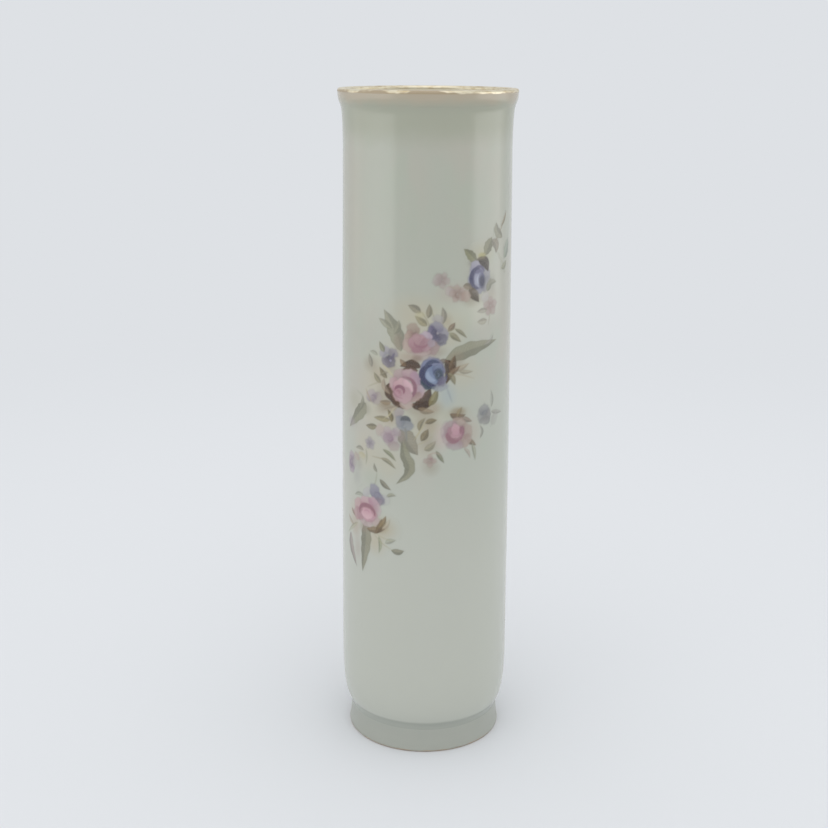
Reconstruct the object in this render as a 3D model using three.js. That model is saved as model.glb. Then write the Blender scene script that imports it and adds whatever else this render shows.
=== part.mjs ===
// A bud vase: a slip-cast porcelain tube with a turned-out lip, a foot ring luted on below, and a gilt rim.
// Lengths are millimetres. +Z is up, and the origin is the centre of the foot's resting face.
// Every piece is turned about the vertical axis, so each outline is drawn as radius against height.
import * as THREE from "three";

const vaseHeight = 200;
const bodyRadius = 26.05;
const roundSteps = 72;
const curveSteps = 6;

// The foot ring stands in from the body and flares a little from its joint down to its resting face.
const footHeight = 7.4;
const footInset = 2.05;
const footFlare = 0.62;
const footRingWidth = 4.5;
const footEdgeRound = 0.7;
const footFlareShares = { first: [0.55, 0.3], last: [0.95, 0.6] };

// The cast body: a crease above the joint, a round shoulder, and a tall tapered wall with a slight belly.
const shoulderHeight = 18.7;
const wallTaper = 1.35;
const wallBelly = 0.18;
const wallThickness = 2.8;
const floorThickness = 4.2;
const floorRound = 6;

const creaseEndShares = [0.34, 0.144];
const creaseShares = { first: [0, 0.45], last: [0.5, 0.75] };
const shoulderShares = { first: [0.5, 0.13], last: [0.94, 0.25] };

// The lip: a flare out of the neck, then a short upright edge that carries the gilding.
const flareHeight = 15;
const lipFlare = 1.45;
const lipThickness = 2.55;
const flareEndShares = [0.5, 0.77];
const flareShares = { first: [0.02, 0.45], last: [0.18, 0.9] };
const lipEdgeShares = { first: [0.5, 0.2], last: [0.93, 0.5] };
const throatShares = { first: [0.03, 0.27], last: [0.92, 0.43] };

// The gilding is the rounded top of the lip, with its coat of fired gold.
const giltHeight = 1;
const giltRound = 0.8;

const footRadius = bodyRadius - footInset;
const footRecessRadius = footRadius - footRingWidth;
const lipSeat = vaseHeight - giltHeight;
const waist = at(footRadius - footFlare, footHeight);
const shoulder = at(bodyRadius, waist.y + shoulderHeight);
const neck = at(bodyRadius - wallTaper, lipSeat - flareHeight);
const lipEdge = at(neck.x + lipFlare, lipSeat);
const mouthEdge = at(lipEdge.x - lipThickness, lipSeat);

const glazedPorcelain = new THREE.MeshStandardMaterial({ color: "#b4b8b0", roughness: 0.18, metalness: 0 });
const footPorcelain = new THREE.MeshStandardMaterial({ color: "#9da198", roughness: 0.4, metalness: 0 });
const firedGold = new THREE.MeshStandardMaterial({ color: "#d9c193", roughness: 0.25, metalness: 1 });

function at(radius, height) {
  return new THREE.Vector2(radius, height);
}

// The point that lies the given shares of the way from one point to another, across and up.
function between(from, to, [acrossShare, upShare]) {
  return at(from.x + (to.x - from.x) * acrossShare, from.y + (to.y - from.y) * upShare);
}

function startAt(point) {
  const outline = new THREE.Path();
  outline.moveTo(point.x, point.y);
  return outline;
}

function line(outline, to) {
  outline.lineTo(to.x, to.y);
}

// A smooth stretch from where the outline is to a point, with its two handles given as shares of that step.
function sweep(outline, to, shares) {
  const from = outline.currentPoint.clone();
  const first = between(from, to, shares.first);
  const last = between(from, to, shares.last);
  outline.bezierCurveTo(first.x, first.y, last.x, last.y, to.x, to.y);
}

// A rounded corner from where the outline is to a point.
function round(outline, corner, to) {
  outline.quadraticCurveTo(corner.x, corner.y, to.x, to.y);
}

// The long wall between two points, swollen by the belly halfway along it.
function bellied(outline, to) {
  const middle = between(outline.currentPoint, to, [1 / 2, 1 / 2]);
  round(outline, at(middle.x + 2 * wallBelly, middle.y), to);
}

function turned(name, outline, material) {
  const geometry = new THREE.LatheGeometry(outline.getPoints(curveSteps), roundSteps);
  geometry.rotateX(Math.PI / 2);
  const mesh = new THREE.Mesh(geometry, material);
  mesh.name = name;
  return mesh;
}

function footRing() {
  const innerEdge = at(footRecessRadius, footEdgeRound);
  const outline = startAt(innerEdge);
  round(outline, at(footRecessRadius, 0), at(footRecessRadius + footEdgeRound, 0));
  line(outline, at(footRadius - footEdgeRound, 0));
  round(outline, at(footRadius, 0), at(footRadius, footEdgeRound));
  sweep(outline, waist, footFlareShares);
  line(outline, at(footRecessRadius, waist.y));
  line(outline, innerEdge);
  return turned("foot_ring", outline, footPorcelain);
}

function vaseBody() {
  const innerNeck = at(neck.x - wallThickness, neck.y);
  const innerRadius = bodyRadius - wallThickness;
  const floorHeight = waist.y + floorThickness;

  const outline = startAt(at(0, waist.y));
  line(outline, waist);
  sweep(outline, between(waist, shoulder, creaseEndShares), creaseShares);
  sweep(outline, shoulder, shoulderShares);
  bellied(outline, neck);
  sweep(outline, between(neck, lipEdge, flareEndShares), flareShares);
  sweep(outline, lipEdge, lipEdgeShares);
  line(outline, mouthEdge);
  sweep(outline, innerNeck, throatShares);
  bellied(outline, at(innerRadius, floorHeight + floorRound));
  round(outline, at(innerRadius, floorHeight), at(innerRadius - floorRound, floorHeight));
  line(outline, at(0, floorHeight));
  return turned("vase_body", outline, glazedPorcelain);
}

function giltRim() {
  const roundStart = vaseHeight - giltRound;
  const outline = startAt(mouthEdge);
  line(outline, lipEdge);
  line(outline, at(lipEdge.x, roundStart));
  round(outline, at(lipEdge.x, vaseHeight), at(lipEdge.x - giltRound, vaseHeight));
  line(outline, at(mouthEdge.x + giltRound, vaseHeight));
  round(outline, at(mouthEdge.x, vaseHeight), at(mouthEdge.x, roundStart));
  line(outline, mouthEdge);
  return turned("gilt_rim", outline, firedGold);
}

const budVase = new THREE.Group();
budVase.add(footRing(), vaseBody(), giltRim());

export default budVase;
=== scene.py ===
"""A gilt-rimmed porcelain bud vase with sprays of roses, dressed over its CAD frame. Lengths are metres."""

import math

import bpy
import numpy as np
from mathutils import Euler, Matrix, Vector


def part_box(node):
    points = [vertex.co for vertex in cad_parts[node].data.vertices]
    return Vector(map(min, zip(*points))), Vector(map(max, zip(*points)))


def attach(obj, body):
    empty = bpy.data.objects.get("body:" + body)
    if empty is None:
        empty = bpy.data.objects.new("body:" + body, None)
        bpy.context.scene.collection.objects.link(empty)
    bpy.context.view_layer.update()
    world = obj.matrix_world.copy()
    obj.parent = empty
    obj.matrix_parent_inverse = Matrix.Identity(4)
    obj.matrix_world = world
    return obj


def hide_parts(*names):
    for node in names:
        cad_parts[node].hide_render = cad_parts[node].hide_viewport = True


MM = 0.001
BODY = "root"

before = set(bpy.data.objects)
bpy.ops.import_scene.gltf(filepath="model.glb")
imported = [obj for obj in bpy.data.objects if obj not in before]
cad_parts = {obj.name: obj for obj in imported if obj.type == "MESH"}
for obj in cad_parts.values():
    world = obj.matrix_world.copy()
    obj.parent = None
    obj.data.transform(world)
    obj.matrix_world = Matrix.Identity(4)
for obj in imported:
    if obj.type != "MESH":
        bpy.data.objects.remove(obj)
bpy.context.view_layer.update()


def rgb(tone):
    """The red, green and blue of a tone such as 0xb4b8b0, as display values from 0 to 255."""
    return np.array([tone >> 16, tone >> 8 & 255, tone & 255], float)


def linear(display):
    """Display values as the linear values that shaders take."""
    share = np.clip(display / 255, 0, 1)
    return np.where(share <= 0.04045, share / 12.92, ((share + 0.055) / 1.055) ** 2.4)


def srgb(tone):
    """A tone as a shader's colour."""
    return (*linear(rgb(tone)).tolist(), 1.0)


def new_mesh(name, vertices, faces, material):
    mesh = bpy.data.meshes.new(name)
    mesh.from_pydata(vertices, [], faces)
    mesh.materials.append(material)
    return mesh


def add_object(name, data):
    """Puts a new object in the scene."""
    thing = bpy.data.objects.new(name, data)
    bpy.context.scene.collection.objects.link(thing)
    return thing


# Camera

CAMERA_PLACE = Vector((-3.6, -389.9, 211.0)) * MM
CAMERA_PITCH = math.radians(15.55)
CAMERA_ROLL = math.radians(0.28)
CAMERA_SENSOR = 36.0
CAMERA_LENS = 57.18
CAMERA_RANGE = (1 * MM, 20.0)


def make_camera():
    data = bpy.data.cameras.new("camera")
    data.sensor_width = CAMERA_SENSOR
    data.lens = CAMERA_LENS
    data.clip_start, data.clip_end = CAMERA_RANGE
    camera = add_object("camera", data)
    turn = Euler((math.pi / 2 - CAMERA_PITCH, 0, 0)).to_matrix() @ Matrix.Rotation(CAMERA_ROLL, 3, "Z")
    camera.matrix_world = Matrix.Translation(CAMERA_PLACE) @ turn.to_4x4()
    bpy.context.scene.camera = camera


# Shader helpers

def new_material(name):
    """An empty node material: itself, its tree, and its Principled shader."""
    material = bpy.data.materials.new(name)
    material.use_nodes = True
    tree = material.node_tree
    return material, tree, tree.nodes["Principled BSDF"]


def feed(tree, socket, value):
    """Gives a socket a plain value, or a link from another socket."""
    if isinstance(value, bpy.types.NodeSocket):
        tree.links.new(value, socket)
    else:
        socket.default_value = value


def add(tree, kind, values):
    """A new node of some kind, with values or links for its named inputs."""
    node = tree.nodes.new("ShaderNode" + kind)
    for name, value in values.items():
        feed(tree, node.inputs[name], value)
    return node


def calc(tree, operation, *values):
    """One Math node."""
    node = tree.nodes.new("ShaderNodeMath")
    node.operation = operation
    for socket, value in zip(node.inputs, values):
        feed(tree, socket, value)
    return node.outputs[0]


def step(tree, value, low, high, to_low=0.0, to_high=1.0):
    """A smooth step of a value, from to_low at low to to_high at high."""
    limits = {"From Min": low, "From Max": high, "To Min": to_low, "To Max": to_high}
    node = add(tree, "MapRange", {"Value": value, **limits})
    node.interpolation_type = "SMOOTHSTEP"
    return node.outputs["Result"]


def mixed(tree, share, first, second):
    """Two colours mixed by a share."""
    node = tree.nodes.new("ShaderNodeMix")
    node.data_type = "RGBA"
    for name, value in (("Factor", share), ("A", first), ("B", second)):
        feed(tree, next(s for s in node.inputs if s.name == name and s.enabled), value)
    return next(s for s in node.outputs if s.enabled)


def mixed_shader(tree, share, first, second):
    """Two shaders mixed by a share."""
    node = tree.nodes.new("ShaderNodeMixShader")
    for socket, value in zip(node.inputs, (share, first, second)):
        feed(tree, socket, value)
    return node.outputs[0]


def place(tree):
    """The point being shaded, in the object's own coordinates."""
    return tree.nodes.new("ShaderNodeTexCoord").outputs["Object"]


def split(tree, vector):
    return add(tree, "SeparateXYZ", {"Vector": vector}).outputs


def noise(tree, size, detail=2.0, stretch=(1, 1, 1)):
    """Soft noise from 0 to 1 whose features are about size across."""
    mapping = add(tree, "Mapping", {"Vector": place(tree), "Scale": stretch})
    values = {"Vector": mapping.outputs[0], "Scale": 1 / size, "Detail": detail}
    return add(tree, "TexNoise", values).outputs["Fac"]


def bump(tree, height, depth, shader):
    node = add(tree, "Bump", {"Height": height, "Distance": depth})
    feed(tree, shader.inputs["Normal"], node.outputs[0])


# Materials

GLAZE = srgb(0xb6baaf)
GLAZE_PINK = srgb(0xbab8ad)
GLAZE_GREEN = srgb(0xb4bbae)
# painted shade: the tone of the crease above the foot, and one of the foot's two greys
GLAZE_SHADE = srgb(0xa6aaa1)
# painted shade: the darker grey-green tone under the lip
UNDER_LIP_SHADE = srgb(0xa7aa99)
# the tan band under the gold
TAN_UNDER_GOLD = srgb(0xb6aa96)
# painted shade: the foot's greyer tone
FOOT_SHADE_GREY = srgb(0xa8aba2)
BARE_TAN = srgb(0xb0a08c)
# painted light: a lighter glaze tone for the lower body, for the light the floor throws up
PAINTED_FLOOR_LIGHT = srgb(0xbdc0b6)
# painted highlight: the bright cream of the inner wall under the lip
MOUTH_HIGHLIGHT = srgb(0xf0e7ce)
GOLD_LIGHT = srgb(0xe6ddc4)
GOLD_DEEP = srgb(0xccbb98)
# the tan where the gold's scalloped edge stops
GOLD_TAN = srgb(0xac9c82)

GLAZE_IOR = 1.6
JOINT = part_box("vase_body")[0].z
LIP_SEAT, RIM_TOP = (corner.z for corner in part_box("gilt_rim"))
LIP_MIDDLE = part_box("gilt_rim")[1].x - 1.27 * MM
LIP_TURN = 0.1 * MM

# Heights between which one tone gives way to the next: painted light low on the body, painted shade under the
# lip and in the crease above the foot, a painted highlight inside the mouth, the tan under the gold, the
# gold's edge and the foot's bare edge
PAINTED_FLOOR_LIGHT_HEIGHTS = (55 * MM, 110 * MM)
UPPER_SHADE_HEIGHTS = (120 * MM, 160 * MM)
CREASE_SHADE_HEIGHTS = (JOINT + 1.8 * MM, JOINT + 3.4 * MM)
LIP_SHADE = (LIP_SEAT - 16 * MM, LIP_SEAT - 8 * MM)
TAN_BAND = (LIP_SEAT - 4.2 * MM, LIP_SEAT - 0.3 * MM)
MOUTH_HIGHLIGHT_EDGE = (LIP_SEAT - 2.6 * MM, LIP_SEAT - 2.1 * MM)
GOLD_EDGE = (RIM_TOP - 0.6 * MM, RIM_TOP - 0.1 * MM)
BARE_EDGE = (0.25 * MM, 0.75 * MM)

# How an edge wavers: the size of its waves, and their depth
LIP_BAND_WAVES = (6 * MM, 3 * MM)
MOUTH_WAVES = (3 * MM, 1.2 * MM)
GOLD_WAVES = (7.5 * MM, 4.5 * MM)
FOOT_WAVES = (4 * MM, 0.9 * MM)

# Noises: size, detail and stretch
DRIFT = (26 * MM, 2.0, (1, 1, 0.45))
PEARL = (9 * MM, 3.0, (1, 1, 0.6))
SWELL = (11 * MM, 1.0)
ORANGE_PEEL = (1.3 * MM, 2.0)
POLISH_PATCHES = (5 * MM, 3.0)
PRINT_GRAIN = (0.28 * MM, 2.0)
FOOT_MOTTLE = (3.5 * MM, 4.0)
BRUSHING = (2.6 * MM, 2.0, (1, 1, 3))
GOLD_GRAIN = (1.1 * MM, 3.0)

NOISE_RANGE = (0.3, 0.7)
SWELL_SHARE = 0.8
PEEL_SHARE = 0.05
POLISH = (0.1, 0.17)
PRINT_DULLNESS = 0.06
PRINT_HEIGHT = 0.25
FOOT_POLISH = 0.3
BARE_DULLNESS = 0.45
GLAZE_RELIEF = 0.05 * MM
BRUSH_RELIEF = 0.02 * MM
GOLD_METAL = 0.85
GOLD_POLISH = (0.3, 0.45)


def inside_lip(tree):
    """1 on the mouth's side of the lip, and 0 on its outer side."""
    x, y, _ = split(tree, place(tree))
    radius = calc(tree, "SQRT", calc(tree, "MULTIPLY_ADD", x, x, calc(tree, "MULTIPLY", y, y)))
    return step(tree, radius, LIP_MIDDLE - LIP_TURN, LIP_MIDDLE + LIP_TURN, 1.0, 0.0)


def uneven(tree, height, size, depth):
    """A height that wavers by about depth, as an edge left by a hand or a dip does. It also makes the edges
    of painted shade and highlight uneven.
    """
    return calc(tree, "MULTIPLY_ADD", calc(tree, "SUBTRACT", noise(tree, size), 0.5), depth, height)


def glaze_colour(tree):
    """The glazed body's colour: pale grey-white with a faint pearl drift of pink and green. Over it lie
    painted light and shade: lighter low down for the floor's light, painted shade that deepens up to the lip
    and lies in the crease above the foot, and a painted highlight inside the mouth; a tan band lies under the
    gold.
    """
    height = split(tree, place(tree))["Z"]
    wavering_height = uneven(tree, height, *LIP_BAND_WAVES)
    mouth = step(tree, uneven(tree, height, *MOUTH_WAVES), *MOUTH_HIGHLIGHT_EDGE)
    layers = (
        (step(tree, noise(tree, *DRIFT), 0.42, 0.66), GLAZE_PINK),
        (step(tree, noise(tree, *PEARL), 0.48, 0.72, 0, 0.7), GLAZE_GREEN),
        # painted light: the glaze is made lighter towards the bottom, for the light the floor throws up
        (step(tree, height, *PAINTED_FLOOR_LIGHT_HEIGHTS, 1, 0), PAINTED_FLOOR_LIGHT),
        # painted shade: the upper body darkens a little towards the lip
        (step(tree, height, *UPPER_SHADE_HEIGHTS, 0, 0.25), UNDER_LIP_SHADE),
        # painted shade in the crease just above the joint with the foot
        (step(tree, height, *CREASE_SHADE_HEIGHTS, 1, 0), GLAZE_SHADE),
        # painted shade under the lip, with a wavering lower edge
        (step(tree, wavering_height, *LIP_SHADE, 0, 0.9), UNDER_LIP_SHADE),
        # a tan band under the gold, fading down the lip
        (step(tree, wavering_height, *TAN_BAND, 0, 0.9), TAN_UNDER_GOLD),
        # painted highlight: the inner wall just under the lip is painted bright cream for the light it
        # catches
        (calc(tree, "MULTIPLY", mouth, inside_lip(tree)), MOUTH_HIGHLIGHT),
    )
    colour = GLAZE
    for share, over in layers:
        colour = mixed(tree, share, colour, over)
    return colour


def polish(tree):
    """The glossy glaze's roughness, which varies a little."""
    return step(tree, noise(tree, *POLISH_PATCHES), *NOISE_RANGE, *POLISH)


def glazed(tree, shader, colour, roughness, on_top=0.0):
    """Makes a shader glazed, with a slow swell and a finer orange peel under what lies on top."""
    feed(tree, shader.inputs["Base Color"], colour)
    feed(tree, shader.inputs["Roughness"], roughness)
    shader.inputs["IOR"].default_value = GLAZE_IOR
    swell = calc(tree, "MULTIPLY", noise(tree, *SWELL), SWELL_SHARE)
    peel = calc(tree, "MULTIPLY_ADD", noise(tree, *ORANGE_PEEL), PEEL_SHARE, on_top)
    bump(tree, calc(tree, "ADD", swell, peel), GLAZE_RELIEF, shader)


def glazed_porcelain():
    material, tree, shader = new_material("glazed_porcelain")
    glazed(tree, shader, glaze_colour(tree), polish(tree))
    return material


INK = "ink"


def ceramic_colours():
    """The glaze with the transfer's colours over it: a fine print grain, and a slight thickness."""
    material, tree, shader = new_material("ceramic_colours")
    painted = tree.nodes.new("ShaderNodeAttribute")
    painted.attribute_name = INK
    grain = step(tree, noise(tree, *PRINT_GRAIN), *NOISE_RANGE, 0.92, 1)
    cover = calc(tree, "MULTIPLY", painted.outputs["Alpha"], grain)
    colour = mixed(tree, cover, glaze_colour(tree), painted.outputs["Color"])
    roughness = calc(tree, "MULTIPLY_ADD", cover, PRINT_DULLNESS, polish(tree))
    thickness = calc(tree, "MULTIPLY", painted.outputs["Alpha"], PRINT_HEIGHT)
    glazed(tree, shader, colour, roughness, thickness)
    return material


def foot_porcelain():
    """The foot's glaze, painted greyer for the shade under the body's shoulder, which stops short of a bare
    tan edge on the resting face.
    """
    material, tree, shader = new_material("foot_porcelain")
    height = split(tree, place(tree))["Z"]
    bare = step(tree, uneven(tree, height, *FOOT_WAVES), *BARE_EDGE, 1, 0)
    mottle = step(tree, noise(tree, *FOOT_MOTTLE), 0.4, 0.7, 0, 0.6)
    # painted shade: the foot is painted greyer than the body, for the shade under the body's shoulder
    colour = mixed(tree, bare, mixed(tree, mottle, FOOT_SHADE_GREY, GLAZE_SHADE), BARE_TAN)
    glazed(tree, shader, colour, calc(tree, "MULTIPLY_ADD", bare, BARE_DULLNESS, FOOT_POLISH))
    return material


def fired_gold():
    """Pale gold brushed over the lip by hand. Outside, its scalloped lower edge gives way to tan."""
    material, tree, shader = new_material("fired_gold")
    height = split(tree, place(tree))["Z"]
    covered = step(tree, uneven(tree, height, *GOLD_WAVES), *GOLD_EDGE)
    covered = calc(tree, "MAXIMUM", covered, inside_lip(tree))
    brushing = noise(tree, *BRUSHING)
    gold = mixed(tree, step(tree, brushing, 0.4, 0.75), GOLD_LIGHT, GOLD_DEEP)
    feed(tree, shader.inputs["Base Color"], mixed(tree, covered, GOLD_TAN, gold))
    feed(tree, shader.inputs["Roughness"], step(tree, noise(tree, *GOLD_GRAIN), 0.3, 0.75, *GOLD_POLISH))
    feed(tree, shader.inputs["Metallic"], calc(tree, "MULTIPLY", covered, GOLD_METAL))
    bump(tree, brushing, BRUSH_RELIEF, shader)
    return material


# Turned pieces

ROUND_STEPS = 256
CORNER_ANGLE = math.radians(35)
TURN_STEP = math.radians(3.5)
LONG_STEP = 3.5 * MM
TINY = 1e-7
MICRON = 1e-6


def section(node):
    """A turned CAD node's outline, as ordered (radius, height) points of its half-plane at x = 0."""
    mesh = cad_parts[node].data
    keys = {}
    for vertex in mesh.vertices:
        x, y, z = vertex.co
        if abs(x) < MICRON and y < MICRON:
            keys[vertex.index] = (round(abs(y), 6), round(z, 6))
    near = {point: set() for point in keys.values()}
    for edge in mesh.edges:
        first, second = (keys.get(i) for i in edge.vertices)
        if first and second and first != second:
            near[first].add(second)
            near[second].add(first)
    ends = [p for p in near if len(near[p]) == 1]
    walk = [min(ends or near, key=lambda p: (p[1], p[0]))]
    while ahead := [p for p in near[walk[-1]] if p not in walk]:
        walk.append(max(ahead))
    if not ends:
        walk.append(walk[0])
    points = np.array(walk)
    across, up = points[:, 0], points[:, 1]
    if np.sum(across[:-1] * up[1:] - across[1:] * up[:-1]) < 0:
        points = points[::-1]
    return points


def corners(points):
    """The indices where an outline turns sharply, its two ends among them."""
    way = np.diff(points, axis=0)
    angles = np.unwrap(np.arctan2(way[:, 1], way[:, 0]))
    sharp = [i + 1 for i, turn in enumerate(np.diff(angles)) if abs(turn) > CORNER_ANGLE]
    return [0, *sharp, len(points) - 1]


def refined(run):
    """A smooth stretch of outline with points added along a cubic through its own."""
    if len(run) < 3:
        count = max(1, math.ceil(np.linalg.norm(run[1] - run[0]) / LONG_STEP))
        return [run[0] + (run[1] - run[0]) * k / count for k in range(count)]
    chord = np.diff(run, axis=0)
    length = np.linalg.norm(chord, axis=1)
    slope = chord / length[:, None]
    before, after = length[:-1, None], length[1:, None]
    inner = (slope[:-1] * before + slope[1:] * after) / (before + after)
    tangent = np.vstack([2 * slope[0] - inner[0], inner, 2 * slope[-1] - inner[-1]])
    low, high = run.min(axis=0), run.max(axis=0)
    made = []
    for i, size in enumerate(length):
        turn = sum(math.acos(np.clip(t @ slope[i] / np.linalg.norm(t), -1, 1)) for t in tangent[i:i + 2])
        count = max(1, math.ceil(turn / TURN_STEP), math.ceil(size / LONG_STEP))
        for t in np.arange(count) / count:
            point = (
                (1 + 2 * t) * (1 - t) ** 2 * run[i] + t * (1 - t) ** 2 * size * tangent[i]
                + t * t * (3 - 2 * t) * run[i + 1] + t * t * (t - 1) * size * tangent[i + 1]
            )
            made.append(np.clip(point, low, high))
    return made


def smooth_outline(node):
    """A turned CAD node's outline made fine: its points, which of them are corners, and if it closes."""
    points = section(node)
    bounds = corners(points)
    outline, sharp = [], []
    for first, last in zip(bounds, bounds[1:]):
        sharp.append(len(outline))
        outline += refined(points[first:last + 1])
    closed = bool(np.allclose(points[0], points[-1]))
    if not closed:
        outline.append(points[-1])
    return np.array(outline), sharp, closed


def turned(name, outline, sharp, closed, material):
    """A fine solid of revolution. Its corners stay sharp, and points on the axis are shared."""
    angles = np.arange(ROUND_STEPS) * 2 * math.pi / ROUND_STEPS
    rings, vertices = [], []
    for radius, height in outline:
        turn = angles if radius > TINY else angles[:1]
        first = len(vertices)
        rings.append([first + k % len(turn) for k in range(ROUND_STEPS)])
        vertices += [(radius * math.sin(a), -radius * math.cos(a), height) for a in turn]
    faces = []
    for low, high in zip(rings, rings[1:] + rings[:1] if closed else rings[1:]):
        for k in range(ROUND_STEPS):
            n = (k + 1) % ROUND_STEPS
            faces.append(tuple(dict.fromkeys((low[k], low[n], high[n], high[k]))))
    mesh = new_mesh(name, vertices, faces, material)
    mesh.shade_smooth()
    creased = {v for i in sharp for v in rings[i]}
    for edge in mesh.edges:
        first, last = (mesh.vertices[i].co.z for i in edge.vertices)
        if creased.issuperset(edge.vertices) and abs(first - last) < TINY:
            edge.use_edge_sharp = True
    return add_object(name, mesh)


def dress(name, node, material):
    """A fine turned piece that stands for a CAD node."""
    piece = turned(name, *smooth_outline(node), material)
    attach(piece, BODY)
    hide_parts(node)
    return piece


# Painter: soft-edged ceramic colour on a chart of the wall, s round it from the front and z up. The sheet
# is in mm. The tools take places and sizes in tenths of a mm, and strengths, softness and squash in percent.

CELL = 0.1
EDGE = 0.24
CURVE_PARTS = 28
PLAIN = 0xb4b8b0
MOTTLE_SIZES = ((2.4, 0.5), (0.9, 0.3), (0.35, 0.2))
MOTTLED = 0.14
LEAF_SHADE = 0.86
TOOTH_DEPTH = 0.06
VEIN_SPACING = 1.1
VEIN_WIDTH = 0.22
RIB_WIDTH = 0.28
RIM_WIDTH = 0.45
PETAL_WAVES = ((0.05, 5, 1), (0.03, 8, 2))
PETAL_SHADOW = 0.3
SHADOW_TONE = 0.8
ARC_POINTS = 7
WASH_SOFTNESS = 90
CHART = (-38, 44, 42, 174)
SEED = 7


def smooth(value, low, high):
    share = np.clip((value - low) / (high - low), 0, 1)
    return share * share * (3 - 2 * share)


class Sheet:
    """A flat sheet of ceramic colour: what it shows, in display values, and how much it covers."""

    def __init__(self, left, low, right, high, seed):
        self.s = np.arange(left, right, CELL)
        self.z = np.arange(low, high, CELL)
        self.colour = np.ones((len(self.z), len(self.s), 3)) * rgb(PLAIN)
        self.cover = np.zeros((len(self.z), len(self.s)))
        self.chance = np.random.default_rng(seed)
        self.mottle = sum(share * self.cloud(size) for size, share in MOTTLE_SIZES)

    def cloud(self, size):
        """Soft random values from 0 to 1 that change over about size."""
        rows = np.arange(len(self.z)) * CELL / size
        columns = np.arange(len(self.s)) * CELL / size
        values = self.chance.random((int(rows[-1]) + 2, int(columns[-1]) + 2))
        low, left = rows.astype(int), columns.astype(int)
        up, across = smooth(rows - low, 0, 1)[:, None], smooth(columns - left, 0, 1)
        bottom, top = (row[:, left] * (1 - across) + row[:, left + 1] * across
                       for row in (values[low], values[low + 1]))
        return bottom * (1 - up) + top * up

    def near(self, points, reach):
        """The part of the sheet within reach of some points, with its cells' places."""
        points = np.atleast_2d(points)
        (left, low), (right, high) = points.min(axis=0) - reach, points.max(axis=0) + reach
        rows = slice(*np.searchsorted(self.z, (low, high)))
        columns = slice(*np.searchsorted(self.s, (left, right)))
        return (rows, columns), self.s[columns][None, :], self.z[rows][:, None]

    def lay(self, part, cover, colour, strength):
        """Lays colour over what is there, at a strength in percent."""
        cover = np.clip(strength / 100 * cover * (1 - MOTTLED * self.mottle[part]), 0, 1)
        under = self.cover[part]
        total = cover + under * (1 - cover)
        share = (cover / np.maximum(total, 1e-6))[..., None]
        self.colour[part] = self.colour[part] * (1 - share) + colour * share
        self.cover[part] = total


sheet = Sheet(*CHART, SEED)


def curve(points):
    """Points in mm, spaced along a smooth line through the given ones, which are s and z in turn."""
    points = np.reshape(points, (-1, 2)) / 10
    ends = np.vstack([2 * points[0] - points[1], points, 2 * points[-1] - points[-2]])
    made = []
    for k in np.linspace(0, len(points) - 1, CURVE_PARTS + 1):
        i = min(int(k), len(points) - 2)
        t = k - i
        a, b, c, d = ends[i:i + 4]
        made.append(0.5 * (2 * b + (c - a) * t + (2 * a - 5 * b + 4 * c - d) * t ** 2
                           + (3 * b - a - 3 * c + d) * t ** 3))
    return np.array(made)


def measure(line, reach):
    """The cells near a line: how far along it each lies, from 0 to 1, and how far to its left."""
    part, s, z = sheet.near(line, reach)
    best = np.full((z.shape[0], s.shape[1]), np.inf)
    along, aside = np.ones_like(best), np.zeros_like(best)
    for k, (start, end) in enumerate(zip(line, line[1:])):
        way = end - start
        ds, dz = s - start[0], z - start[1]
        t = np.clip((ds * way[0] + dz * way[1]) / max(way @ way, 1e-9), 0, 1)
        gap = np.hypot(ds - t * way[0], dz - t * way[1])
        side = np.where(way[0] * dz - way[1] * ds > 0, 1.0, -1.0)
        closer = gap < best
        best = np.where(closer, gap, best)
        along = np.where(closer, (k + t) / (len(line) - 1), along)
        aside = np.where(closer, gap * side, aside)
    return part, along, aside


def stroke(points, width, tone, strength=100, start=15, end=15):
    """A brush stroke that swells to its width and thins to percents of it at its ends."""
    width = width / 10
    part, along, aside = measure(curve(points), width + EDGE)
    swell = np.sin(np.pi * np.clip(along, 0, 1)) ** 0.7
    taper = (start + (end - start) * along) / 100
    half = width / 2 * (taper + (1 - taper) * swell)
    sheet.lay(part, smooth(half - np.abs(aside), -EDGE, EDGE), rgb(tone), strength)


def leaf(points, width, tone, strength=100, teeth=0):
    """A leaf from its base to its tip, darker on the right of its midrib, with faint veins."""
    line, width = curve(points), width / 10
    length = np.linalg.norm(np.diff(line, axis=0), axis=1).sum()
    part, along, aside = measure(line, width)
    away = np.abs(aside)
    half = width / 2 * np.sin(np.pi * np.clip(along, 0, 1) ** 0.84) ** 0.9
    if teeth:
        half = half * (1 + TOOTH_DEPTH * np.sin(along * teeth * 2 * np.pi + np.sign(aside)))
    light = smooth(aside, -0.12 * width, 0.12 * width)
    vein = smooth(np.abs(((along * length - 0.8 * away) / VEIN_SPACING) % 1 - 0.5), 0, VEIN_WIDTH)
    rib = smooth(away, 0, RIB_WIDTH)
    rim = smooth(half - away, 0, RIM_WIDTH)
    level = (LEAF_SHADE + (1 - LEAF_SHADE) * light) * (0.965 + 0.035 * vein) * (1.06 - 0.06 * rib)
    level = level * (0.92 + 0.08 * rim)
    sheet.lay(part, smooth(half - away, -EDGE, EDGE), rgb(tone) * level[..., None], strength)


def around(s, z, reach):
    """The part of the sheet within reach of a place, and how far across and up its cells are from it."""
    part, across, up = sheet.near((s / 10, z / 10), reach)
    return part, across - s / 10, up - z / 10


def blob(s, z, across, up, tone, strength, soft=50):
    """An oval of colour that reaches across and up from its middle, with a soft edge."""
    across, up, soft = across / 10, up / 10, soft / 100
    part, ds, dz = around(s, z, max(across, up) * (1 + soft))
    away = np.hypot(ds / across, dz / up)
    sheet.lay(part, 1 - smooth(away, 1 - soft, 1 + soft), rgb(tone), strength)


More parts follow.
